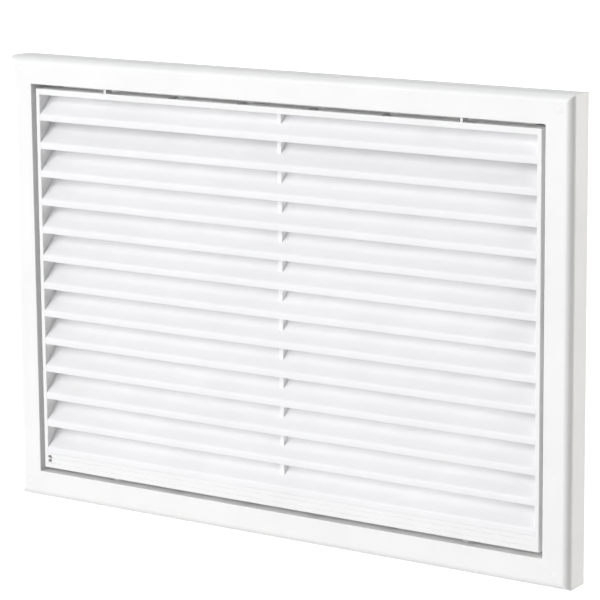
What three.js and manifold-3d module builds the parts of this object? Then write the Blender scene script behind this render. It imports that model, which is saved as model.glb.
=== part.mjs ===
// Louvred air grille for a wall opening: a mounting frame that is screwed to the wall, and a louvred
// panel that snaps into it and carries thirteen fixed rain-shedding blades and an insect screen.
// Millimetres. +X is right, +Y goes into the wall, +Z is up. The origin is the centre of the duct
// opening on the wall plane, so the mounting frame's back is at Y = 0 and its front is at Y = -depth.

import * as THREE from "three";
import { mergeVertices } from "three/addons/utils/BufferGeometryUtils.js";
import Module from "manifold-3d";

const wasm = await Module();
wasm.setup();

// ---------------------------------------------------------------- driving dimensions

const outer = { width: 350, height: 250, depth: 17 };
const border = 15; // width of the flat face around the panel
const bullnoseRadius = 4;
const frameWall = { face: 2.5, inner: 2, outer: 2.5 };
const flange = { width: 12, thickness: 3.25 };
const post = { radius: 2.5, fromOuterEdge: 7.5 };
const rib = { thickness: 1.5, backClearance: 2, pitch: 62.5 };

const panelGap = 2.5; // all round, between the panel and the frame's opening
const panelRecess = 1; // how far the panel's face sits behind the frame's face
const panelBackGap = 0.25; // between the panel's back and the frame's flange
const panelWall = { side: 2.5, top: 3.25, bottom: 2.5 };
const sill = { height: 8.25, thickness: 1.5 };
const sillGroove = { width: 0.6, depth: 0.6, endGap: 2, heights: [3, 6] };
const releaseSlot = { width: 2.25, height: 4, aboveEdge: 3.25 };
const slotNib = { length: 1.25, height: 0.8 }; // narrows the slot half way up

const blade = { count: 13, pitch: 15.75, depth: 11, lipHeight: 3.5, lipThickness: 1.5 };
const bladeRounding = 1;
const bladePlate = 2.25; // measured upright, so the 45 degree plate is 1.6 thick
const mullion = { width: 2.5, depth: 6 };

const screenThickness = 0.5;
const screenFrame = { width: 8 };

// A row of pockets along the top and bottom edges of the panel; the two end ones hold a latch.
const pocket = { count: 6, pitch: 44.5, width: 6, length: 9.75, depth: 2.25, fromFace: 1.5 };
const endPocket = { left: 3, right: 8 }; // from the middle of the latch's hook
const latch = { arm: 24, halfThickness: 0.8, width: 5, hookWidth: 1.5, gap: 0.3, tipGap: 1 };
const latchBelowEdge = 1.75; // from the panel's edge to the middle of the arm
const latchSkin = 0.75; // wall left over the arm
const hookHeight = { front: 4.15, back: 5.25 }; // above the arm's middle plane
const catchHole = { width: 5, length: 6, beyondWall: 1 };
const lowerLatchSetback = 4; // the lower latches sit this much deeper, where their hooks show less

const screw = { x: 150, fromOpening: 6, headRadius: 3.75, headHeight: 2, rim: 0.4, tip: 5 };
const shank = { radius: 1.9, length: 28 };
const crossRecess = { reach: 2.1, halfWidth: 0.45, depth: 1.2 };
const screwSeat = 1; // material left under the head
const screwHole = { radius: 2.25, headRadius: 4.125 };
const plug = { radius: 3, boreRadius: 2.1, collarRadius: 4, collar: 1, length: 25, taper: 0.4 };
const barb = { height: 0.5, rise: 0.5, fall: 3, pitch: 5, first: 6, lastBeforeEnd: 4 };
const plugSlit = { halfWidth: 0.4, from: 5, beforeEnd: 3 };

const overlap = 0.5; // how far pieces that are joined run into each other
const past = 1; // how far a cutting tool runs past the face that it cuts

// ---------------------------------------------------------------- derived places

const halfOpening = { x: outer.width / 2 - border, z: outer.height / 2 - border };
const faceY = -outer.depth;
const panelFaceY = faceY + panelRecess;
const panelBackY = -flange.thickness - panelBackGap;
const panelHalf = { x: halfOpening.x - panelGap, z: halfOpening.z - panelGap };
const inside = {
  x: panelHalf.x - panelWall.side,
  top: panelHalf.z - panelWall.top,
  bottom: -panelHalf.z + panelWall.bottom,
};
const sillTop = -panelHalf.z + sill.height;
const bladeBackY = panelFaceY + blade.depth;
const screenBackY = bladeBackY + screenThickness;
const hollowFrontY = faceY + frameWall.face;
const pocketFrontY = panelFaceY + pocket.fromFace;
const latchFrontY = (corner) => hollowFrontY + latch.gap + (corner.z < 0 ? lowerLatchSetback : 0);
const latchHookX = (pocket.pitch * (pocket.count - 1)) / 2;
const latchPivotX = latchHookX + latch.hookWidth / 2 - latch.arm;
const latchPivotZ = panelHalf.z - latchBelowEdge;
const screwZ = halfOpening.z - screw.fromOpening;

const sides = [-1, 1];
const corners = [
  { name: "top_left", x: -1, z: 1 },
  { name: "top_right", x: 1, z: 1 },
  { name: "bottom_left", x: -1, z: -1 },
  { name: "bottom_right", x: 1, z: -1 },
];

// ---------------------------------------------------------------- materials

const plastic = (color, roughness) =>
  new THREE.MeshStandardMaterial({ color, roughness, flatShading: true });
const white = { frame: 0xf6f6f4, panel: 0xf4f4f3, blade: 0xf3f3f2 };
const screenGrey = 0xc9cbcc;
const plugGrey = 0x9a9c9e;
const zinc = () =>
  new THREE.MeshStandardMaterial({ color: 0xb9bcbe, roughness: 0.35, metalness: 1, flatShading: true });

// ---------------------------------------------------------------- geometry helpers

// A closed BufferGeometry as a solid that can be joined and cut.
function toSolid(geometry) {
  const bare = geometry.clone();
  bare.deleteAttribute("normal");
  bare.deleteAttribute("uv");
  const merged = mergeVertices(bare, 1e-4);
  return new wasm.Manifold(
    new wasm.Mesh({
      numProp: 3,
      vertProperties: merged.attributes.position.array,
      triVerts: new Uint32Array(merged.index.array),
    }),
  );
}

function toGeometry(solid) {
  const mesh = solid.getMesh();
  const geometry = new THREE.BufferGeometry();
  geometry.setAttribute("position", new THREE.BufferAttribute(mesh.vertProperties, 3));
  geometry.setIndex(new THREE.BufferAttribute(mesh.triVerts, 1));
  return geometry;
}

const join = (...geometries) => toGeometry(geometries.map(toSolid).reduce((a, b) => a.add(b)));
const cut = (body, ...tools) =>
  toGeometry(tools.map(toSolid).reduce((a, b) => a.subtract(b), toSolid(body)));

// A box between two opposite corners, given as [x, y, z] in any order.
function block(a, b) {
  const low = new THREE.Vector3(...a).min(new THREE.Vector3(...b));
  const high = new THREE.Vector3(...a).max(new THREE.Vector3(...b));
  const size = high.clone().sub(low);
  const middle = low.clone().add(high).multiplyScalar(0.5);
  return new THREE.BoxGeometry(size.x, size.y, size.z).translate(middle.x, middle.y, middle.z);
}

// A round bar along Y.
function bar(x, z, radius, y0, y1, segments = 32) {
  const length = Math.abs(y1 - y0);
  return new THREE.CylinderGeometry(radius, radius, length, segments).translate(x, (y0 + y1) / 2, z);
}

// A (y, z) outline pushed along X from x0 to x1.
function alongX(shape, x0, x1) {
  const options = { depth: x1 - x0, bevelEnabled: false, curveSegments: 5 };
  const geometry = new THREE.ExtrudeGeometry(shape, options);
  const turn = new THREE.Matrix4().set(0, 0, 1, x0, 1, 0, 0, 0, 0, 1, 0, 0, 0, 0, 0, 1);
  return geometry.applyMatrix4(turn);
}

// An (x, z) outline pushed along Y from y0 to y1.
function alongY(shape, y0, y1) {
  const options = { depth: y1 - y0, bevelEnabled: false, curveSegments: 8 };
  const geometry = new THREE.ExtrudeGeometry(shape, options);
  return geometry.rotateX(Math.PI / 2).translate(0, y1, 0);
}

// A (outward, y) outline swept round a rectangle with mitred corners.
function mitredRing(outline, halfX, halfZ) {
  const points = outline.getPoints(8);
  points.pop();
  const turns = [
    [1, 1],
    [-1, 1],
    [-1, -1],
    [1, -1],
  ];
  const position = [];
  for (const [sx, sz] of turns) {
    for (const p of points) position.push(sx * (halfX + p.x), p.y, sz * (halfZ + p.x));
  }
  const index = [];
  const n = points.length;
  for (let side = 0; side < 4; side++) {
    for (let i = 0; i < n; i++) {
      const a = side * n + i;
      const b = side * n + ((i + 1) % n);
      const c = ((side + 1) % 4) * n + ((i + 1) % n);
      const d = ((side + 1) % 4) * n + i;
      index.push(a, b, c, a, c, d);
    }
  }
  const geometry = new THREE.BufferGeometry();
  geometry.setAttribute("position", new THREE.Float32BufferAttribute(position, 3));
  geometry.setIndex(index);
  return geometry;
}

// ---------------------------------------------------------------- mounting frame

// Outward from the opening's edge: flange behind the panel, inner wall, face, bullnose, outer wall.
function frameOutline() {
  const shape = new THREE.Shape();
  shape.moveTo(-flange.width, 0);
  shape.lineTo(-flange.width, -flange.thickness);
  shape.lineTo(0, -flange.thickness);
  shape.lineTo(0, faceY);
  shape.lineTo(border - bullnoseRadius, faceY);
  shape.absarc(border - bullnoseRadius, faceY + bullnoseRadius, bullnoseRadius, -Math.PI / 2, 0, false);
  shape.lineTo(border, 0);
  shape.lineTo(border - frameWall.outer, 0);
  shape.lineTo(border - frameWall.outer, hollowFrontY);
  shape.lineTo(frameWall.inner, hollowFrontY);
  shape.lineTo(frameWall.inner, 0);
  shape.closePath();
  return shape;
}

// Stiffening ribs and corner posts in the hollow between the frame's inner and outer walls.
function frameStiffeners() {
  const channel = { from: frameWall.inner - overlap, to: border - frameWall.outer + overlap };
  const frontY = hollowFrontY - overlap;
  const half = rib.thickness / 2;
  const pieces = [];
  for (const side of sides) {
    for (let i = -2; i <= 2; i++) {
      const x = i * rib.pitch;
      const z0 = side * (halfOpening.z + channel.from);
      const z1 = side * (halfOpening.z + channel.to);
      pieces.push(block([x - half, frontY, z0], [x + half, -rib.backClearance, z1]));
    }
    for (let i = -1; i <= 1; i++) {
      const z = i * rib.pitch;
      const x0 = side * (halfOpening.x + channel.from);
      const x1 = side * (halfOpening.x + channel.to);
      pieces.push(block([x0, frontY, z - half], [x1, -rib.backClearance, z + half]));
    }
  }
  for (const c of corners) {
    const x = c.x * (outer.width / 2 - post.fromOuterEdge);
    const z = c.z * (outer.height / 2 - post.fromOuterEdge);
    pieces.push(bar(x, z, post.radius, frontY, 0));
  }
  return pieces;
}

// A hole through the inner wall for each latch's hook to catch in.
function catchHoles() {
  const half = catchHole.width / 2;
  const z0 = halfOpening.z - past;
  const z1 = halfOpening.z + frameWall.inner + catchHole.beyondWall;
  return corners.map((c) => {
    const x = c.x * latchHookX;
    const frontY = latchFrontY(c) - latch.gap;
    return block([x - half, frontY, c.z * z0], [x + half, frontY + catchHole.length, c.z * z1]);
  });
}

function screwHoles() {
  return corners.flatMap((c) => [
    bar(c.x * screw.x, c.z * screwZ, screwHole.radius, -flange.thickness - past, past),
    bar(c.x * screw.x, c.z * screwZ, screwHole.headRadius, -flange.thickness - past, -screwSeat),
  ]);
}

function mountingFrame() {
  const ring = mitredRing(frameOutline(), halfOpening.x, halfOpening.z);
  return cut(join(ring, ...frameStiffeners()), ...catchHoles(), ...screwHoles());
}

// ---------------------------------------------------------------- fixings

// A pan-head screw along Y with a cross recess; its head is seated at y = 0.
function fixingScrew() {
  const { headRadius, headHeight, rim, tip } = screw;
  const outline = new THREE.Path();
  outline.moveTo(0, -headHeight);
  outline.quadraticCurveTo(headRadius, -headHeight, headRadius, -rim);
  outline.lineTo(headRadius, 0);
  outline.lineTo(shank.radius, 0);
  outline.lineTo(shank.radius, shank.length - tip);
  outline.lineTo(0, shank.length);
  const body = new THREE.LatheGeometry(outline.getPoints(6), 24);
  const { reach, halfWidth, depth } = crossRecess;
  const front = -headHeight - past;
  const back = -headHeight + depth;
  return cut(
    body,
    block([-reach, front, -halfWidth], [reach, back, halfWidth]),
    block([-halfWidth, front, -reach], [halfWidth, back, reach]),
  );
}

// A split nylon plug along Y, from the wall plane at y = 0.
function wallPlug() {
  const { radius, boreRadius, collarRadius, collar, length, taper } = plug;
  const outline = new THREE.Path();
  outline.moveTo(boreRadius, 0);
  outline.lineTo(collarRadius, 0);
  outline.lineTo(collarRadius - taper, collar);
  outline.lineTo(radius, collar);
  for (let y = barb.first; y <= length - barb.lastBeforeEnd; y += barb.pitch) {
    outline.lineTo(radius, y);
    outline.lineTo(radius + barb.height, y + barb.rise);
    outline.lineTo(radius, y + barb.fall);
  }
  outline.lineTo(radius - taper, length);
  outline.lineTo(boreRadius, length);
  outline.lineTo(boreRadius, 0);
  const body = new THREE.LatheGeometry(outline.getPoints(), 24);
  const half = plugSlit.halfWidth;
  const reach = radius + past;
  return cut(body, block([-half, plugSlit.from, -reach], [half, length - plugSlit.beforeEnd, reach]));
}

// ---------------------------------------------------------------- louvred panel

// The rectangle that the blades sit in, with a deeper sill along its bottom edge.
function panelSurround() {
  const { top, bottom } = inside;
  const x = inside.x + past;
  const walls = join(
    block([inside.x, panelFaceY, -panelHalf.z], [panelHalf.x, panelBackY, panelHalf.z]),
    block([-inside.x, panelFaceY, -panelHalf.z], [-panelHalf.x, panelBackY, panelHalf.z]),
    block([-x, panelFaceY, top], [x, panelBackY, panelHalf.z]),
    block([-x, panelFaceY, -panelHalf.z], [x, panelBackY, bottom]),
    block([-x, panelFaceY, -panelHalf.z], [x, panelFaceY + sill.thickness, sillTop]),
  );
  return cut(walls, ...edgePockets(), ...latchSpaces(), ...sillGrooves(), sillSlot());
}

// Blind pockets in the outer side of the top and bottom walls.
function edgePockets() {
  const pieces = [];
  for (let i = 0; i < pocket.count; i++) {
    const x = (i - (pocket.count - 1) / 2) * pocket.pitch;
    const atEnd = i === 0 || i === pocket.count - 1;
    const x0 = x - (atEnd ? endPocket.left : pocket.width / 2);
    const x1 = x + (atEnd ? endPocket.right : pocket.width / 2);
    for (const side of sides) {
      const z0 = side * (panelHalf.z - pocket.depth);
      const z1 = side * (panelHalf.z + past);
      pieces.push(block([x0, pocketFrontY, z0], [x1, pocketFrontY + pocket.length, z1]));
    }
  }
  return pieces;
}

// The room that each latch's arm needs under the skin of the wall, open to the panel's inside.
function latchSpaces() {
  return corners.map((c) => {
    const x0 = c.x * (latchPivotX - latch.halfThickness - latch.gap);
    const x1 = c.x * (latchPivotX + latch.arm + latch.tipGap);
    const z0 = c.z * (inside.top - panelWall.top);
    const z1 = c.z * (panelHalf.z - latchSkin);
    const frontY = latchFrontY(c);
    return block([x0, frontY - latch.gap, z0], [x1, frontY + latch.width + latch.gap, z1]);
  });
}

function sillGrooves() {
  return sillGroove.heights.map((height) => {
    const z = -panelHalf.z + height;
    const half = sillGroove.width / 2;
    const back = panelFaceY + sillGroove.depth;
    const end = inside.x - sillGroove.endGap;
    return block([-end, panelFaceY - past, z - half], [end, back, z + half]);
  });
}

// The small slot at the sill's left end, where a screwdriver lifts the panel out. A nib narrows it.
function sillSlot() {
  const low = -panelHalf.z + releaseSlot.aboveEdge;
  const high = low + releaseSlot.height;
  const front = panelFaceY - past;
  const back = panelFaceY + sill.thickness + past;
  const nibLow = (low + high - slotNib.height) / 2;
  const slot = block([-inside.x, front, low], [-inside.x + releaseSlot.width, back, high]);
  const nibEnd = [-inside.x + slotNib.length, back + past, nibLow + slotNib.height];
  return cut(slot, block([-inside.x - past, front - past, nibLow], nibEnd));
}

// A blade's section: an upright lip at the front, then a plate that rises at 45 degrees to the back.
function bladeOutline() {
  const backTop = blade.lipHeight + blade.depth;
  const lipBackY = panelFaceY + blade.lipThickness;
  const shape = new THREE.Shape();
  shape.moveTo(panelFaceY, 0);
  shape.lineTo(lipBackY, 0);
  shape.lineTo(lipBackY, blade.lipHeight + blade.lipThickness - bladePlate);
  shape.lineTo(bladeBackY, backTop - bladePlate);
  shape.lineTo(bladeBackY, backTop);
  shape.lineTo(panelFaceY + bladeRounding, blade.lipHeight + bladeRounding);
  shape.quadraticCurveTo(panelFaceY, blade.lipHeight, panelFaceY, blade.lipHeight - bladeRounding);
  shape.closePath();
  return shape;
}

// Each blade is notched at its back, where the mullion passes.
function louvreBlade() {
  const body = alongX(bladeOutline(), -inside.x, inside.x);
  const half = mullion.width / 2;
  const top = blade.lipHeight + blade.depth + past;
  return cut(body, block([-half, bladeBackY - mullion.depth, -past], [half, bladeBackY + past, top]));
}

function centreMullion() {
  const half = mullion.width / 2;
  return block([-half, bladeBackY - mullion.depth, inside.bottom], [half, bladeBackY, inside.top]);
}

// The mesh itself is finer than a solid can show, so its sheet is solid here.
function insectScreen() {
  return block([-inside.x, bladeBackY, inside.bottom], [inside.x, screenBackY, inside.top]);
}

function screenRetainer() {
  const plate = block([-inside.x, screenBackY, inside.bottom], [inside.x, panelBackY, inside.top]);
  const w = screenFrame.width;
  const low = [-inside.x + w, screenBackY - past, inside.bottom + w];
  const high = [inside.x - w, panelBackY + past, inside.top - w];
  return cut(plate, block(low, high));
}

// A sprung arm that lies along the panel's edge, with its pivot at x = z = 0 and a hook at its tip.
// The hook's outer side slopes, so that it can pass the frame's face as the arm bends inwards.
function snapLatch() {
  const { arm, halfThickness, width, hookWidth } = latch;
  const armOutline = new THREE.Shape();
  armOutline.moveTo(0, -halfThickness);
  armOutline.lineTo(arm, -halfThickness);
  armOutline.lineTo(arm, halfThickness);
  armOutline.lineTo(0, halfThickness);
  armOutline.absarc(0, 0, halfThickness, Math.PI / 2, (3 * Math.PI) / 2, false);
  const hookOutline = new THREE.Shape();
  hookOutline.moveTo(0, 0);
  hookOutline.lineTo(width, 0);
  hookOutline.lineTo(width, hookHeight.back);
  hookOutline.lineTo(0, hookHeight.front);
  hookOutline.closePath();
  return join(alongY(armOutline, 0, width), alongX(hookOutline, arm - hookWidth, arm));
}

// ---------------------------------------------------------------- assembly

const grille = new THREE.Group();

function place(parent, name, geometry, material, x = 0, y = 0, z = 0) {
  const mesh = new THREE.Mesh(geometry, material);
  mesh.name = name;
  mesh.position.set(x, y, z);
  parent.add(mesh);
  return mesh;
}

const wallSide = new THREE.Group();
place(wallSide, "mounting_frame", mountingFrame(), plastic(white.frame, 0.4));
corners.forEach((c) => {
  const x = c.x * screw.x;
  const z = c.z * screwZ;
  place(wallSide, `fixing_screw_${c.name}`, fixingScrew(), zinc(), x, -screwSeat, z);
  place(wallSide, `wall_plug_${c.name}`, wallPlug(), plastic(plugGrey, 0.6), x, 0, z);
});

const panel = new THREE.Group();
place(panel, "panel_surround", panelSurround(), plastic(white.panel, 0.4));
for (let i = 0; i < blade.count; i++) {
  const name = `louvre_blade_${String(i + 1).padStart(2, "0")}`;
  const lipBottom = sillTop + blade.pitch * (blade.count - 1 - i);
  place(panel, name, louvreBlade(), plastic(white.blade, 0.4), 0, 0, lipBottom);
}
place(panel, "centre_mullion", centreMullion(), plastic(white.blade, 0.4));
place(panel, "insect_screen", insectScreen(), plastic(screenGrey, 0.7));
place(panel, "screen_frame", screenRetainer(), plastic(white.panel, 0.45));
corners.forEach((c) => {
  const mesh = place(panel, `snap_latch_${c.name}`, snapLatch(), plastic(white.panel, 0.4));
  mesh.position.set(c.x * latchPivotX, latchFrontY(c), c.z * latchPivotZ);
  mesh.scale.set(c.x, 1, c.z);
});

grille.add(wallSide, panel);
export default grille;
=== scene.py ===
"""A louvred air grille for a wall opening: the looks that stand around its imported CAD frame.

Lengths are in millimetres, as on the grille's drawing, and MM turns them into metres. +X is right,
+Y goes into the wall and +Z is up. Each piece is built where its CAD node is, with the moulded radii,
sink marks, threads and weave that the CAD solids leave out.
"""

import math
from collections import namedtuple

import bmesh
import bpy
from mathutils import Matrix, Vector


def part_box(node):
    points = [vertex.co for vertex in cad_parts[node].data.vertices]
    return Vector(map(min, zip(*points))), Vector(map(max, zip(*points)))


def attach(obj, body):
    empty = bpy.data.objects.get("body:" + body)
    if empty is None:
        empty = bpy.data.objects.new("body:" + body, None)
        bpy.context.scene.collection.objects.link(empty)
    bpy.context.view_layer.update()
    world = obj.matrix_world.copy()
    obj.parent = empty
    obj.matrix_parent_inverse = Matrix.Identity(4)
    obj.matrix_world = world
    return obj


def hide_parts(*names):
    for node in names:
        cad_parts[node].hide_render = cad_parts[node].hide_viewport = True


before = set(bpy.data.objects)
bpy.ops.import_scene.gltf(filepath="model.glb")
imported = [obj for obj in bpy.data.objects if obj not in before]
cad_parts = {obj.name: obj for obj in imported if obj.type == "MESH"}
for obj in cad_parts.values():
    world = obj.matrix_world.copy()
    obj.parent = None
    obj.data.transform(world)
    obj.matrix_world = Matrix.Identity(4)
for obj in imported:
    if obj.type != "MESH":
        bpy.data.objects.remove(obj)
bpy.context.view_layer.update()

MM = 0.001
TAU = 2 * math.pi

# ---------------------------------------------------------------- sizes

BORDER = 15  # width of the mounting frame's face
BULLNOSE = 4
FRAME_FILLETS = {"edge": 0.3, "flange": 0.5, "seat": 0.4, "hollow": 0.5}
FRAME_CORNER = 0.15
FRAME_WALL = {"face": 2.5, "inner": 2, "outer": 2.5}
FLANGE = {"width": 12, "thickness": 3.25}
RIB = {"thickness": 1.5, "back_clearance": 2, "pitch": 62.5, "in_long_side": 5, "in_short_side": 3}
POST = {"radius": 2.5, "from_edge": 7.5, "chamfer": 0.3}
CATCH_HOLE = {"width": 5, "length": 6, "beyond_wall": 1}
SINK_MARK = {"radius": 2.4, "rim": 0.35, "depth": 0.1, "from_edge": 7.5}
SCREW_HOLE = {"radius": 2.25, "head_radius": 4.125, "seat": 1}

PANEL_WALL = {"side": 2.5, "top": 3.25, "bottom": 2.5}
PANEL_CORNER = {"outer": 0.3, "inner": 0.25}
PANEL_EDGES = {"back_inner": 0.2, "front_inner": 0.25, "front_outer": 0.4, "back_outer": 0.3}
SILL = {"height": 8.25, "thickness": 1.5, "overlap": 0.75}
GROOVE = {"width": 0.6, "depth": 0.6, "end_gap": 2, "heights": (3, 6)}
RELEASE_SLOT = {"width": 2.25, "height": 4, "above_edge": 3.25}
SLOT_NIB = {"length": 1.25, "height": 0.8}
POCKET = {"count": 6, "pitch": 44.5, "width": 6, "length": 9.75, "depth": 2.25, "from_face": 1.5}
END_POCKET = {"left": 3, "right": 8}
HOOK_WIDTH = 1.5
LATCH_SPACE = {"gap": 0.3, "tip_gap": 1, "skin": 0.75}

LIP = {"height": 3.5, "thickness": 1.5}
BLADE_EDGES = {"foot": 0.3, "crease": 2.4, "plate": 0.15, "under": 0.5, "behind_foot": 0.2}
PLATE_UPRIGHT = 2.25  # the 45 degree plate's thickness, measured upright
MULLION = {"width": 2.5, "depth": 6, "edge": 0.15}
LATCH_EDGE = 0.15

SCREEN_PITCH = 1.75
STRAND = {"half_width": 0.18, "half_thickness": 0.125}
SCREEN_FRAME = {"border": 8, "corner": 0.3, "hole_corner": 2, "front_edge": 0.1, "back_edge": 0.3}

SCREW = {"head_radius": 3.75, "head_height": 2, "rim": 0.4, "seat_chamfer": 0.2}
THREAD = {"radius": 1.9, "core": 1.35, "pitch": 1.8, "tip": 5, "tip_scale": 0.04, "inside_head": 0.5}
CROSS = {"reach": 2.1, "half_width": 0.45, "depth": 1.2}
PLUG = {"radius": 3, "bore": 2.1, "collar_radius": 4, "collar": 1, "taper": 0.4}
BARB = {"height": 0.5, "rise": 0.5, "fall": 3, "pitch": 5, "first": 6, "last_before_end": 4}
PLUG_SLIT = {"half_width": 0.4, "from": 5, "before_end": 3}

PAST = 1  # how far a cutting shape runs past the face that it cuts
OVERLAP = 0.5  # how far shapes that are joined run into each other
CORNERS = ("top_left", "top_right", "bottom_left", "bottom_right")
BLADES = sorted(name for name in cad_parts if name.startswith("louvre_blade"))


def box_mm(node):
    low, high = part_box(node)
    return low / MM, high / MM


def corner_signs(corner):
    return (1 if "right" in corner else -1), (1 if "top" in corner else -1)


def centred(count, pitch):
    """Positions at a pitch, half of them on each side of zero."""
    return [(i - (count - 1) / 2) * pitch for i in range(count)]


frame_low, frame_high = box_mm("mounting_frame")
panel_low, panel_high = box_mm("panel_surround")
hook_x = box_mm("snap_latch_top_right")[1].x - HOOK_WIDTH / 2

# ---------------------------------------------------------------- shapes

Rectangle = namedtuple("Rectangle", "left right bottom top radius")
CORNER_STEPS = 6
NEARLY_SHARP = 0.05
NEARLY_STRAIGHT = 1.57  # half the angle at a corner, in radians, from which it isn't rounded
ARC_STEPS = 4
WIDE_ARC = {"above_radius": 2, "steps": 12}
FIXING_SEGMENTS = 40
WELD_DISTANCE = 1e-4
CAD_WELD_DISTANCE = 1e-3
SMOOTH_BELOW = 35  # degrees between faces; sharper edges stay sharp
FLAT_BELOW = 2  # degrees between two CAD faces that are one flat face
SHARP_ABOVE = 40  # degrees between two CAD faces whose edge is rounded


def grown(rectangle, by):
    """The rectangle with each side moved outwards; its corners stay round about the same centres."""
    left, right, bottom, top, radius = rectangle
    return Rectangle(left - by, right + by, bottom - by, top + by, max(radius + by, NEARLY_SHARP))


def rectangle_points(rectangle):
    left, right, bottom, top, radius = rectangle
    centres = (
        (right - radius, top - radius),
        (left + radius, top - radius),
        (left + radius, bottom + radius),
        (right - radius, bottom + radius),
    )
    points = []
    for quarter, (x, z) in enumerate(centres):
        for step in range(CORNER_STEPS + 1):
            angle = (quarter + step / CORNER_STEPS) * TAU / 4
            points.append((x + radius * math.cos(angle), z + radius * math.sin(angle)))
    return points


def rounded(corners):
    """A closed outline of (u, v, radius) corners, rounded. A point is (u, v, its corner's number)."""
    points = []
    for number, (u, v, radius) in enumerate(corners):
        here = Vector((u, v))
        back = (Vector(corners[number - 1][:2]) - here).normalized()
        on = (Vector(corners[(number + 1) % len(corners)][:2]) - here).normalized()
        half = math.acos(max(-1, min(1, back.dot(on)))) / 2
        if radius == 0 or half > NEARLY_STRAIGHT:
            points.append((u, v, number))
            continue
        centre = here + (back + on).normalized() * radius / math.sin(half)
        start = here + back * radius / math.tan(half) - centre
        end = here + on * radius / math.tan(half) - centre
        turn = math.atan2(start.x * end.y - start.y * end.x, start.dot(end))
        steps = WIDE_ARC["steps"] if radius > WIDE_ARC["above_radius"] else ARC_STEPS
        for step in range(steps + 1):
            arm = Matrix.Rotation(turn * step / steps, 2) @ start
            points.append((centre.x + arm.x, centre.y + arm.y, number))
    return points


def closed(mesh):
    bmesh.ops.recalc_face_normals(mesh, faces=mesh.faces)
    return mesh


def skin(rows, ends):
    """A surface over rows of points, each row a closed loop; ends is "joined" or "capped"."""
    mesh = bmesh.new()
    loops = [[mesh.verts.new(point) for point in row] for row in rows]
    count = len(loops[0])
    last = len(loops) if ends == "joined" else len(loops) - 1
    for number in range(last):
        here, after = loops[number], loops[(number + 1) % len(loops)]
        for i in range(count):
            j = (i + 1) % count
            mesh.faces.new((here[i], here[j], after[j], after[i]))
    if ends == "capped":
        mesh.faces.new(loops[0])
        mesh.faces.new(loops[-1])
    return closed(mesh)


def ring(corners):
    """A mitred ring. A corner is (rectangle, offset from it, y, radius)."""
    flat = [(base.right + offset, y, radius) for base, offset, y, radius in corners]
    rows = []
    for across, y, number in rounded(flat):
        base = corners[number][0]
        rows.append([(x, y, z) for x, z in rectangle_points(grown(base, across - base.right))])
    return skin(rows, "joined")


def along_x(outline, stations):
    """An outline of (y, z) points pushed along X."""
    return skin([[(x, y, z) for y, z in outline] for x in stations], "capped")


def lathe(profile, x, z, segments=32):
    """A (radius, y) profile turned about an axis along Y. It is closed, or its ends are on the axis."""
    mesh = bmesh.new()
    loops = []
    for radius, y in profile:
        if radius == 0:
            loops.append([mesh.verts.new((x, y, z))] * segments)
            continue
        angles = [TAU * i / segments for i in range(segments)]
        points = [(x + radius * math.cos(a), y, z + radius * math.sin(a)) for a in angles]
        loops.append([mesh.verts.new(point) for point in points])
    hollow = profile[0][0] > 0
    for number in range(len(loops) if hollow else len(loops) - 1):
        here, after = loops[number], loops[(number + 1) % len(loops)]
        for i in range(segments):
            j = (i + 1) % segments
            face = list(dict.fromkeys((here[i], here[j], after[j], after[i])))
            mesh.faces.new(face)
    return closed(mesh)


def block(low, high, radius=0):
    """A box between two corners, given in any order, with its edges rounded where a radius is given."""
    low, high = Vector(map(min, low, high)), Vector(map(max, low, high))
    mesh = bmesh.new()
    middle, size = (low + high) / 2, high - low
    bmesh.ops.create_cube(mesh, size=1, matrix=Matrix.Translation(middle) @ Matrix.Diagonal((*size, 1)))
    if radius:
        edges = mesh.edges[:]
        bmesh.ops.bevel(mesh, geom=edges, offset=radius, segments=3, profile=0.5, affect="EDGES")
    return closed(mesh)


def merged(shapes):
    """One mesh that holds several separate shapes."""
    result = bmesh.new()
    for shape in shapes:
        part = bpy.data.meshes.new("part")
        shape.to_mesh(part)
        shape.free()
        result.from_mesh(part)
        bpy.data.meshes.remove(part)
    return result


def combined(body, shapes, operation):
    """The body with the shapes cut out of it ("DIFFERENCE") or joined to it ("UNION")."""
    objects = []
    for shape in (body, merged(shapes)):
        data = bpy.data.meshes.new("shape")
        shape.to_mesh(data)
        shape.free()
        objects.append(bpy.data.objects.new("shape", data))
        bpy.context.scene.collection.objects.link(objects[-1])
    modifier = objects[0].modifiers.new("combine", "BOOLEAN")
    modifier.operation = operation
    modifier.object = objects[1]
    modifier.solver = "EXACT"
    result = bmesh.new()
    result.from_object(objects[0], bpy.context.evaluated_depsgraph_get())
    for each in objects:
        bpy.data.meshes.remove(each.data)
    bmesh.ops.remove_doubles(result, verts=result.verts, dist=WELD_DISTANCE)
    return result


def piece(name, shape, material, body, nodes):
    """A finished piece: body is what it rides on, and nodes are the CAD nodes that it stands for."""
    data = bpy.data.meshes.new(name)
    bmesh.ops.scale(shape, vec=(MM, MM, MM), verts=shape.verts)
    shape.to_mesh(data)
    shape.free()
    data.shade_smooth()
    data.set_sharp_from_angle(angle=math.radians(SMOOTH_BELOW))
    data.materials.append(material)
    made = bpy.data.objects.new(name, data)
    bpy.context.scene.collection.objects.link(made)
    weigh = made.modifiers.new("weighted_normals", "WEIGHTED_NORMAL")
    weigh.keep_sharp = True
    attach(made, body)
    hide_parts(*nodes)


# ---------------------------------------------------------------- materials


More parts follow.
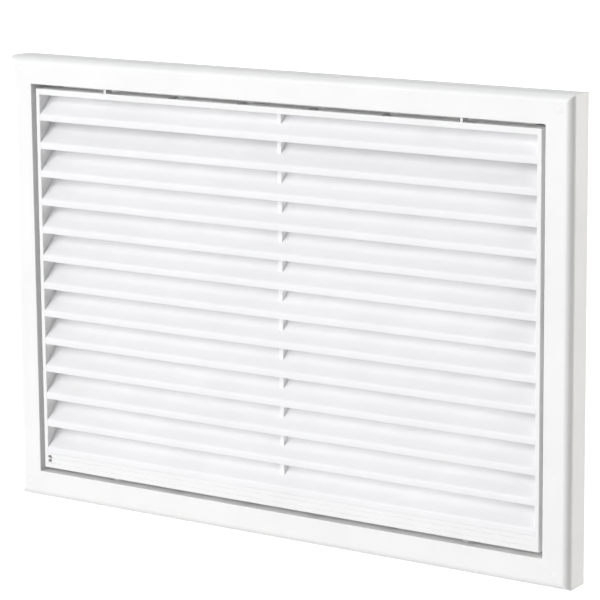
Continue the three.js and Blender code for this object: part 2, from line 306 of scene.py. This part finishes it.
# Each look is a noise, with its scale in waves per metre, and what it does. Heights are in millimetres.
BLOTCHES = {"scale": 35, "detail": 4, "roughness": 0.5, "darkest": 0.975, "lightest": 1.01}
GLOSS = {"scale": 220, "detail": 5, "roughness": 0.65, "smoother": 0.06, "duller": 0.08}
WAVES = {"scale": 60, "detail": 2, "roughness": 0.5, "height": 0.1, "strength": 0.25}
GRAIN = {"scale": 2600, "detail": 3, "roughness": 0.6, "height": 0.03}
NOISE_SPREAD = (0.3, 0.7)  # nearly all of a noise's values lie between these


def plastic(name, colour, roughness, grain=0.25):
    """Moulded plastic: a fine spark-eroded grain, slow waves, and uneven gloss and tone."""
    material = bpy.data.materials.new(name)
    material.use_nodes = True
    nodes, links = material.node_tree.nodes, material.node_tree.links
    shader = nodes["Principled BSDF"]
    shader.inputs["IOR"].default_value = 1.5
    place = nodes.new("ShaderNodeTexCoord").outputs["Object"]

    def noise(look):
        node = nodes.new("ShaderNodeTexNoise")
        node.inputs["Scale"].default_value = look["scale"]
        node.inputs["Detail"].default_value = look["detail"]
        node.inputs["Roughness"].default_value = look["roughness"]
        links.new(place, node.inputs["Vector"])
        return node.outputs["Fac"]

    def mapped(value, low, high):
        node = nodes.new("ShaderNodeMapRange")
        node.inputs["From Min"].default_value = NOISE_SPREAD[0]
        node.inputs["From Max"].default_value = NOISE_SPREAD[1]
        node.inputs["To Min"].default_value = low
        node.inputs["To Max"].default_value = high
        links.new(value, node.inputs["Value"])
        return node.outputs["Result"]

    def bump(look, strength):
        node = nodes.new("ShaderNodeBump")
        node.inputs["Strength"].default_value = strength
        node.inputs["Distance"].default_value = look["height"] * MM
        links.new(noise(look), node.inputs["Height"])
        return node

    tone = nodes.new("ShaderNodeMix")
    tone.data_type = "RGBA"
    dark = [channel * BLOTCHES["darkest"] for channel in colour]
    light = [min(channel * BLOTCHES["lightest"], 1) for channel in colour]
    tone.inputs["A"].default_value = (*dark, 1)
    tone.inputs["B"].default_value = (*light, 1)
    links.new(mapped(noise(BLOTCHES), 0, 1), tone.inputs["Factor"])
    links.new(tone.outputs["Result"], shader.inputs["Base Color"])

    gloss = mapped(noise(GLOSS), roughness - GLOSS["smoother"], roughness + GLOSS["duller"])
    links.new(gloss, shader.inputs["Roughness"])

    waves = bump(WAVES, WAVES["strength"])
    fine = bump(GRAIN, grain)
    links.new(waves.outputs["Normal"], fine.inputs["Normal"])
    links.new(fine.outputs["Normal"], shader.inputs["Normal"])
    return material


def zinc(name):
    """Bright zinc plate: metal with the same fine grain and uneven gloss."""
    material = plastic(name, (0.70, 0.71, 0.72), 0.3, 0.35)
    material.node_tree.nodes["Principled BSDF"].inputs["Metallic"].default_value = 1
    return material


FRAME_WHITE = plastic("frame_white", (0.94, 0.94, 0.935), 0.42)
PANEL_WHITE = plastic("panel_white", (0.935, 0.935, 0.935), 0.45)
BLADE_WHITE = plastic("blade_white", (0.93, 0.928, 0.94), 0.5)
SCREEN_WHITE = plastic("screen_frame_white", (0.82, 0.82, 0.82), 0.5)
MESH_GREY = plastic("mesh_grey", (0.55, 0.56, 0.57), 0.55, 0.1)
NYLON_GREY = plastic("nylon_grey", (0.42, 0.43, 0.44), 0.5, 0.3)
ZINC = zinc("bright_zinc")

# ---------------------------------------------------------------- mounting frame


def frame_ring():
    outer = Rectangle(frame_low.x, frame_high.x, frame_low.z, frame_high.z, FRAME_CORNER)
    opening = grown(outer, -BORDER)._replace(radius=FRAME_CORNER)
    front, back = frame_low.y, frame_high.y
    flange_front = back - FLANGE["thickness"]
    hollow_front = front + FRAME_WALL["face"]
    edge, fillet = FRAME_FILLETS["edge"], FRAME_FILLETS["hollow"]
    return ring(
        [
            (opening, -FLANGE["width"], back, edge),
            (opening, -FLANGE["width"], flange_front, FRAME_FILLETS["flange"]),
            (opening, 0, flange_front, FRAME_FILLETS["seat"]),
            (opening, 0, front, edge),
            (outer, 0, front, BULLNOSE),
            (outer, 0, back, edge),
            (outer, -FRAME_WALL["outer"], back, edge),
            (outer, -FRAME_WALL["outer"], hollow_front, fillet),
            (opening, FRAME_WALL["inner"], hollow_front, fillet),
            (opening, FRAME_WALL["inner"], back, edge),
        ]
    )


def corner_point(corner, from_edge):
    """The point (x, z) at a distance inside both of the frame's edges that meet at a corner."""
    x, z = corner_signs(corner)
    return x * (frame_high.x - from_edge), z * (frame_high.z - from_edge)


def frame_stiffeners():
    """Ribs and corner posts in the hollow between the frame's inner and outer walls."""
    half_x, half_z = frame_high.x - BORDER, frame_high.z - BORDER
    low, high = FRAME_WALL["inner"] - OVERLAP, BORDER - FRAME_WALL["outer"] + OVERLAP
    front = frame_low.y + FRAME_WALL["face"] - OVERLAP
    back = frame_high.y - RIB["back_clearance"]
    half = RIB["thickness"] / 2
    shapes = []
    for side in (-1, 1):
        z_low, z_high = side * (half_z + low), side * (half_z + high)
        for x in centred(RIB["in_long_side"], RIB["pitch"]):
            shapes.append(block((x - half, front, z_low), (x + half, back, z_high)))
        x_low, x_high = side * (half_x + low), side * (half_x + high)
        for z in centred(RIB["in_short_side"], RIB["pitch"]):
            shapes.append(block((x_low, front, z - half), (x_high, back, z + half)))
    radius, chamfer, end = POST["radius"], POST["chamfer"], frame_high.y
    profile = [(0, front), (radius, front), (radius, end - chamfer), (radius - chamfer, end), (0, end)]
    for corner in CORNERS:
        shapes.append(lathe(profile, *corner_point(corner, POST["from_edge"])))
    return shapes


def frame_cuts():
    """Catch holes for the latches, screw holes, and the sink marks that the posts leave on the face."""
    front, back = frame_low.y, frame_high.y
    opening_z = frame_high.z - BORDER
    shapes = []
    for corner in CORNERS:
        x, z = corner_signs(corner)
        half = CATCH_HOLE["width"] / 2
        hole_front = box_mm(f"snap_latch_{corner}")[0].y - LATCH_SPACE["gap"]
        low = (x * hook_x - half, hole_front, z * (opening_z - PAST))
        reach = opening_z + FRAME_WALL["inner"] + CATCH_HOLE["beyond_wall"]
        shapes.append(block(low, (x * hook_x + half, hole_front + CATCH_HOLE["length"], z * reach)))

        screw_low, screw_high = box_mm(f"fixing_screw_{corner}")
        screw = (screw_low + screw_high) / 2
        radius, head = SCREW_HOLE["radius"], SCREW_HOLE["head_radius"]
        seat = back - SCREW_HOLE["seat"]
        over, under = back - FLANGE["thickness"] - PAST, back + PAST
        profile = [(0, over), (head, over), (head, seat), (radius, seat), (radius, under), (0, under)]
        shapes.append(lathe(profile, screw.x, screw.z))

        radius, floor = SINK_MARK["radius"], front + SINK_MARK["depth"]
        edge = radius - SINK_MARK["rim"]
        profile = [(0, floor), (edge - SINK_MARK["rim"], floor), (edge, floor + SINK_MARK["depth"])]
        profile += [(radius, front), (radius, front - PAST), (0, front - PAST)]
        shapes.append(lathe(profile, *corner_point(corner, SINK_MARK["from_edge"])))
    return shapes


def make_mounting_frame():
    shape = combined(frame_ring(), frame_stiffeners(), "UNION")
    shape = combined(shape, frame_cuts(), "DIFFERENCE")
    piece("frame_moulding", shape, FRAME_WHITE, "wall_frame", ["mounting_frame"])


# ---------------------------------------------------------------- fixings


def thread_radius(along, angle, length):
    """The screw's radius at a distance along its shank and an angle round it, less over the tip."""
    turn = (along / THREAD["pitch"] - angle / TAU) % 1
    crest = max(0, 1 - abs(turn - 0.5) * 4)  # a ridge over the middle half of each turn
    narrow = min(1, (length - along) / THREAD["tip"])
    radius = THREAD["core"] + (THREAD["radius"] - THREAD["core"]) * crest
    return radius * max(narrow, THREAD["tip_scale"])


def screw_head():
    """A pan head with a cross recess, in front of its seat at y = 0."""
    head, height = SCREW["head_radius"], SCREW["head_height"]
    rim, chamfer = SCREW["rim"], SCREW["seat_chamfer"]
    quarter_steps = 12
    turns = [i * TAU / 4 / quarter_steps for i in range(1, quarter_steps + 1)]
    dome = [(head * math.sin(turn), -rim - (height - rim) * math.cos(turn)) for turn in turns]
    seat = [(head, -chamfer), (head - chamfer, 0), (0, 0)]
    body = lathe([(0, -height), *dome, *seat], 0, 0, FIXING_SEGMENTS)
    reach, half, depth = CROSS["reach"], CROSS["half_width"], CROSS["depth"]
    floor = -height + depth
    cross = [
        block((-reach, -height - PAST, -half), (reach, floor, half)),
        block((-half, -height - PAST, half), (half, floor, reach)),
        block((-half, -height - PAST, -half), (half, floor, -reach)),
    ]
    return combined(body, cross, "DIFFERENCE")


def screw_shape(length):
    """A screw along Y, with its head's seat at y = 0."""
    rows = []
    segments, per_turn = 24, 10
    step = THREAD["pitch"] / per_turn
    angles = [TAU * i / segments for i in range(segments)]
    for i in range(int((length + THREAD["inside_head"]) / step)):
        along = i * step - THREAD["inside_head"]
        radii = [thread_radius(along, angle, length) for angle in angles]
        rows.append([(r * math.cos(a), along, r * math.sin(a)) for r, a in zip(radii, angles)])
    return combined(screw_head(), [skin(rows, "capped")], "UNION")


def plug_shape(length):
    """A split and barbed nylon plug, along Y from its collar at y = 0."""
    radius, bore, taper = PLUG["radius"], PLUG["bore"], PLUG["taper"]
    profile = [(bore, 0), (PLUG["collar_radius"], 0), (PLUG["collar_radius"] - taper, PLUG["collar"])]
    profile.append((radius, PLUG["collar"]))
    y = BARB["first"]
    while y <= length - BARB["last_before_end"]:
        crest = (radius + BARB["height"], y + BARB["rise"])
        profile += [(radius, y), crest, (radius, y + BARB["fall"])]
        y += BARB["pitch"]
    profile += [(radius - taper, length), (bore, length)]
    half, reach = PLUG_SLIT["half_width"], radius + PAST
    slit = block((-half, PLUG_SLIT["from"], -reach), (half, length - PLUG_SLIT["before_end"], reach))
    return combined(lathe(profile, 0, 0, FIXING_SEGMENTS), [slit], "DIFFERENCE")


def make_fixings():
    for corner in CORNERS:
        low, high = box_mm(f"fixing_screw_{corner}")
        shape = screw_shape(high.y - low.y - SCREW["head_height"])
        middle = (low + high) / 2
        seat = (middle.x, low.y + SCREW["head_height"], middle.z)
        bmesh.ops.translate(shape, vec=seat, verts=shape.verts)
        piece(f"screw_{corner}", shape, ZINC, "wall_frame", [f"fixing_screw_{corner}"])

        low, high = box_mm(f"wall_plug_{corner}")
        shape = plug_shape(high.y - low.y)
        middle = (low + high) / 2
        bmesh.ops.translate(shape, vec=(middle.x, low.y, middle.z), verts=shape.verts)
        piece(f"plug_{corner}", shape, NYLON_GREY, "wall_frame", [f"wall_plug_{corner}"])


# ---------------------------------------------------------------- louvred panel

panel_outer = Rectangle(panel_low.x, panel_high.x, panel_low.z, panel_high.z, PANEL_CORNER["outer"])
panel_inner = Rectangle(
    panel_low.x + PANEL_WALL["side"],
    panel_high.x - PANEL_WALL["side"],
    panel_low.z + PANEL_WALL["bottom"],
    panel_high.z - PANEL_WALL["top"],
    PANEL_CORNER["inner"],
)


def surround_cuts():
    """Cutting shapes for the pockets along the panel's edges and the grooves in its sill."""
    front = panel_low.y
    shapes = []
    pocket_front = front + POCKET["from_face"]
    for i, x in enumerate(centred(POCKET["count"], POCKET["pitch"])):
        at_end = i in (0, POCKET["count"] - 1)
        left = x - (END_POCKET["left"] if at_end else POCKET["width"] / 2)
        right = x + (END_POCKET["right"] if at_end else POCKET["width"] / 2)
        for side in (-1, 1):
            low = (left, pocket_front, side * (panel_high.z - POCKET["depth"]))
            high = (right, pocket_front + POCKET["length"], side * (panel_high.z + PAST))
            shapes.append(block(low, high))
    for height in GROOVE["heights"]:
        z = panel_low.z + height
        end = panel_inner.right - GROOVE["end_gap"]
        half = GROOVE["width"] / 2
        shapes.append(block((-end, front - PAST, z - half), (end, front + GROOVE["depth"], z + half)))
    return shapes


def release_slot():
    """A cutting shape for the slot in the sill, with a nib that narrows it half way up."""
    front = panel_low.y - PAST
    back = panel_low.y + SILL["thickness"] + PAST
    low = panel_low.z + RELEASE_SLOT["above_edge"]
    high = low + RELEASE_SLOT["height"]
    slot = block((panel_inner.left, front, low), (panel_inner.left + RELEASE_SLOT["width"], back, high))
    nib_low = (low + high - SLOT_NIB["height"]) / 2
    nib = block(
        (panel_inner.left - PAST, front - PAST, nib_low),
        (panel_inner.left + SLOT_NIB["length"], back + PAST, nib_low + SLOT_NIB["height"]),
    )
    return combined(slot, [nib], "DIFFERENCE")


def latch_spaces():
    """The room for each latch's arm, under the skin of the panel's wall and open to its inside."""
    shapes = []
    gap = LATCH_SPACE["gap"]
    for corner in CORNERS:
        x, z = corner_signs(corner)
        low, high = box_mm(f"snap_latch_{corner}")
        near, far = (low.x - gap, high.x + LATCH_SPACE["tip_gap"])
        if x < 0:
            near, far = (low.x - LATCH_SPACE["tip_gap"], high.x + gap)
        inside = panel_inner.top - PANEL_WALL["top"]
        outside = panel_high.z - LATCH_SPACE["skin"]
        shapes.append(block((near, low.y - gap, z * inside), (far, high.y + gap, z * outside)))
    return shapes


def make_surround():
    front, back = panel_low.y, panel_high.y
    walls = ring(
        [
            (panel_inner, 0, back, PANEL_EDGES["back_inner"]),
            (panel_inner, 0, front, PANEL_EDGES["front_inner"]),
            (panel_outer, 0, front, PANEL_EDGES["front_outer"]),
            (panel_outer, 0, back, PANEL_EDGES["back_outer"]),
        ]
    )
    sill_top = panel_low.z + SILL["height"]
    sill = block(
        (panel_inner.left - OVERLAP, front, panel_inner.bottom - SILL["overlap"]),
        (panel_inner.right + OVERLAP, front + SILL["thickness"], sill_top),
    )
    shape = combined(walls, [sill], "UNION")
    shape = combined(shape, surround_cuts(), "DIFFERENCE")
    shape = combined(shape, [release_slot()], "DIFFERENCE")
    shape = combined(shape, latch_spaces(), "DIFFERENCE")
    piece("surround_moulding", shape, PANEL_WHITE, "louvre_panel", ["panel_surround"])


def make_blades():
    for node in BLADES:
        low, high = box_mm(node)
        lip_back = low.y + LIP["thickness"]
        corners = [
            (low.y, low.z, BLADE_EDGES["foot"]),
            (low.y, low.z + LIP["height"], BLADE_EDGES["crease"]),
            (high.y, high.z, BLADE_EDGES["plate"]),
            (high.y, high.z - PLATE_UPRIGHT, BLADE_EDGES["plate"]),
            (lip_back, low.z + LIP["height"] + LIP["thickness"] - PLATE_UPRIGHT, BLADE_EDGES["under"]),
            (lip_back, low.z, BLADE_EDGES["behind_foot"]),
        ]
        outline = [(y, z) for y, z, _ in rounded(corners)]
        half = MULLION["width"] / 2
        notch_front = high.y - MULLION["depth"]
        notch = block((-half, notch_front, low.z - PAST), (half, high.y + PAST, high.z + PAST))
        shape = combined(along_x(outline, (low.x, high.x)), [notch], "DIFFERENCE")
        name = node.replace("louvre_blade", "blade")
        piece(name, shape, BLADE_WHITE, "louvre_panel", [node])


def make_mullion():
    shape = block(*box_mm("centre_mullion"), MULLION["edge"])
    piece("mullion", shape, BLADE_WHITE, "louvre_panel", ["centre_mullion"])


def make_latches():
    """The CAD latches with their edges rounded."""
    for corner in CORNERS:
        node = f"snap_latch_{corner}"
        shape = bmesh.new()
        shape.from_mesh(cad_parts[node].data)
        bmesh.ops.scale(shape, vec=(1 / MM, 1 / MM, 1 / MM), verts=shape.verts)
        bmesh.ops.remove_doubles(shape, verts=shape.verts, dist=CAD_WELD_DISTANCE)
        flat = math.radians(FLAT_BELOW)
        bmesh.ops.dissolve_limit(shape, angle_limit=flat, verts=shape.verts, edges=shape.edges)
        edges = [edge for edge in shape.edges if edge.is_manifold]
        sharp = [edge for edge in edges if edge.calc_face_angle() > math.radians(SHARP_ABOVE)]
        bmesh.ops.bevel(shape, geom=sharp, offset=LATCH_EDGE, segments=2, profile=0.5, affect="EDGES")
        name, body = f"latch_{corner}_arm", f"latch_{corner}"
        piece(name, closed(shape), PANEL_WHITE, body, [node])


# ---------------------------------------------------------------- insect screen


def strand_mesh(lines, across):
    """One strand along each line of points, with a flat section whose width lies in direction across."""
    thick, wide = STRAND["half_thickness"], STRAND["half_width"]
    verts, faces = [], []
    for line in lines:
        first = len(verts)
        for point in line:
            for out, side in ((-thick, 0), (0, wide), (thick, 0), (0, -wide)):
                verts.append(Vector(point) + Vector((0, out, 0)) + Vector(across) * side)
        end = first + 4 * (len(line) - 1)
        for start in range(first, end, 4):
            for i in range(4):
                j = (i + 1) % 4
                faces.append((start + i, start + j, start + 4 + j, start + 4 + i))
        faces.append((first, first + 1, first + 2, first + 3))
        faces.append((end + 3, end + 2, end + 1, end))
    data = bpy.data.meshes.new("strands")
    data.from_pydata(verts, [], faces)
    shape = bmesh.new()
    shape.from_mesh(data)
    bpy.data.meshes.remove(data)
    return closed(shape)


def make_screen():
    low, high = box_mm("insect_screen")
    middle = (low + high) / 2
    columns = int((high.x - low.x) / SCREEN_PITCH)
    rows = int((high.z - low.z) / SCREEN_PITCH)
    xs = [middle.x + x for x in centred(columns, SCREEN_PITCH)]
    zs = [middle.z + z for z in centred(rows, SCREEN_PITCH)]
    wave = STRAND["half_thickness"]
    over = [[wave if (i + j) % 2 else -wave for j in range(rows)] for i in range(columns)]
    warp = [[(x, middle.y + over[i][j], z) for j, z in enumerate(zs)] for i, x in enumerate(xs)]
    weft = [[(x, middle.y - over[i][j], z) for i, x in enumerate(xs)] for j, z in enumerate(zs)]
    for name, lines, across in (("screen_warp", warp, (1, 0, 0)), ("screen_weft", weft, (0, 0, 1))):
        shape = strand_mesh(lines, across)
        piece(name, shape, MESH_GREY, "louvre_panel", ["insect_screen"])

    low, high = box_mm("screen_frame")
    outer = Rectangle(low.x, high.x, low.z, high.z, SCREEN_FRAME["corner"])
    hole = grown(outer, -SCREEN_FRAME["border"])._replace(radius=SCREEN_FRAME["hole_corner"])
    front_edge, back_edge = SCREEN_FRAME["front_edge"], SCREEN_FRAME["back_edge"]
    shape = ring(
        [
            (hole, 0, low.y, front_edge),
            (outer, 0, low.y, front_edge),
            (outer, 0, high.y, back_edge),
            (hole, 0, high.y, back_edge),
        ]
    )
    piece("screen_retainer", shape, SCREEN_WHITE, "louvre_panel", ["screen_frame"])


# ---------------------------------------------------------------- studio

# The place is in millimetres, the angles are in degrees and the far clip is in metres.
# The rise is a shift of the lens, as a part of the sensor's width.
CAMERA = {
    "place": (779.7, -1180.1, 295.5),
    "azimuth": 33.272,
    "elevation": 10.187,
    "roll": -0.466,
    "lens": 163.16,
    "sensor": 36,
    "rise": -0.12,
    "clip_end": 50,
}

WHITE = (1, 1, 1)

# Soft lights that face the object, in degrees, metres and watts.
# Azimuth 0 is in front of it, and 90 on its right.
Softbox = namedtuple("Softbox", "name azimuth elevation size strength colour")
LIGHT_DISTANCE = 6
SOFTBOXES = (
    Softbox("key_low", -22, 6, (3.6, 1.2), 105, WHITE),
    Softbox("key_high", -22, 28, (3.6, 3), 149, WHITE),
    Softbox("left_front", -50, 8, (2.4, 1.6), 36, WHITE),
    Softbox("left_fill", -80, 8, (3.2, 1.6), 80, (0.97, 0.99, 1)),
    Softbox("right_rear", 140, 8, (3.2, 1.6), 188, (1, 0.97, 0.92)),
    Softbox("rear", 180, 40, (10, 2.4), 150, WHITE),
    Softbox("top", 0, 88, (5, 5), 62, (0.93, 0.97, 1)),
)
FLOOR_CARD = {"size": (6, 6), "strength": 28, "above_floor": 0.5}
WORLD_STRENGTH = 0.14
FLOOR_HALF_SIZE = 20
BACKDROP_RADIUS = 19
PALE = {"base": (0.9, 0.9, 0.9, 1), "roughness": 0.8, "glow": 1}


def make_camera():
    data = bpy.data.cameras.new("camera")
    data.lens = CAMERA["lens"]
    data.sensor_width = CAMERA["sensor"]
    data.shift_y = CAMERA["rise"]
    data.clip_end = CAMERA["clip_end"]
    camera = bpy.data.objects.new("camera", data)
    turn = (
        Matrix.Rotation(math.radians(CAMERA["azimuth"]), 4, "Z")
        @ Matrix.Rotation(math.radians(90 - CAMERA["elevation"]), 4, "X")
        @ Matrix.Rotation(math.radians(CAMERA["roll"]), 4, "Z")
    )
    camera.matrix_world = Matrix.Translation(Vector(CAMERA["place"]) * MM) @ turn
    bpy.context.scene.collection.objects.link(camera)
    bpy.context.scene.camera = camera


def place_light(name, place, away, size, strength, colour):
    """A rectangular soft light that shines against the direction away."""
    data = bpy.data.lights.new(name, "AREA")
    data.shape = "RECTANGLE"
    data.size, data.size_y = size
    data.energy = strength
    data.color = colour
    light = bpy.data.objects.new(name, data)
    light.location = place
    light.rotation_euler = away.to_track_quat("Z", "Y").to_euler()
    light.visible_camera = False
    bpy.context.scene.collection.objects.link(light)


def make_softboxes():
    for box in SOFTBOXES:
        azimuth, elevation = math.radians(box.azimuth), math.radians(box.elevation)
        level = math.cos(elevation)
        away = Vector((math.sin(azimuth) * level, -math.cos(azimuth) * level, math.sin(elevation)))
        place_light(box.name, away * LIGHT_DISTANCE, away, box.size, box.strength, box.colour)


def make_floor_card():
    """The light that the pale floor would throw up, from just above it."""
    place = Vector((0, 0, (frame_low.z + FLOOR_CARD["above_floor"]) * MM))
    down = Vector((0, 0, -1))
    place_light("floor_card", place, down, FLOOR_CARD["size"], FLOOR_CARD["strength"], WHITE)


def make_world():
    world = bpy.data.worlds.new("studio")
    world.use_nodes = True
    background = world.node_tree.nodes["Background"]
    background.inputs["Color"].default_value = (*WHITE, 1)
    background.inputs["Strength"].default_value = WORLD_STRENGTH
    bpy.context.scene.world = world


def pale_material(name):
    """A matt white that glows, so that it stays evenly pale in every view."""
    material = bpy.data.materials.new(name)
    material.use_nodes = True
    shader = material.node_tree.nodes["Principled BSDF"]
    shader.inputs["Base Color"].default_value = PALE["base"]
    shader.inputs["Roughness"].default_value = PALE["roughness"]
    shader.inputs["Emission Color"].default_value = (*WHITE, 1)
    shader.inputs["Emission Strength"].default_value = PALE["glow"]
    return material


def stage_piece(name, shape):
    """A pale part of the studio, which the object reflects but isn't lit by."""
    data = bpy.data.meshes.new(name)
    shape.to_mesh(data)
    shape.free()
    data.materials.append(pale_material(f"pale_{name}"))
    made = bpy.data.objects.new(name, data)
    bpy.context.scene.collection.objects.link(made)
    made.visible_diffuse = False
    return made


def make_floor():
    shape = bmesh.new()
    bmesh.ops.create_grid(shape, x_segments=1, y_segments=1, size=FLOOR_HALF_SIZE)
    floor = stage_piece("floor", shape)
    floor.location.z = frame_low.z * MM


def make_backdrop():
    """A ball round the studio that the object doesn't reflect. The world's light passes through it."""
    shape = bmesh.new()
    bmesh.ops.create_uvsphere(shape, u_segments=48, v_segments=24, radius=BACKDROP_RADIUS)
    backdrop = stage_piece("backdrop", shape)
    backdrop.visible_glossy = False
    backdrop.visible_shadow = False


make_camera()
make_world()
make_floor()
make_backdrop()
make_softboxes()
make_floor_card()

make_mounting_frame()
make_fixings()
make_surround()
make_blades()
make_mullion()
make_latches()
make_screen()

bpy.context.scene.view_settings.view_transform = "Standard"
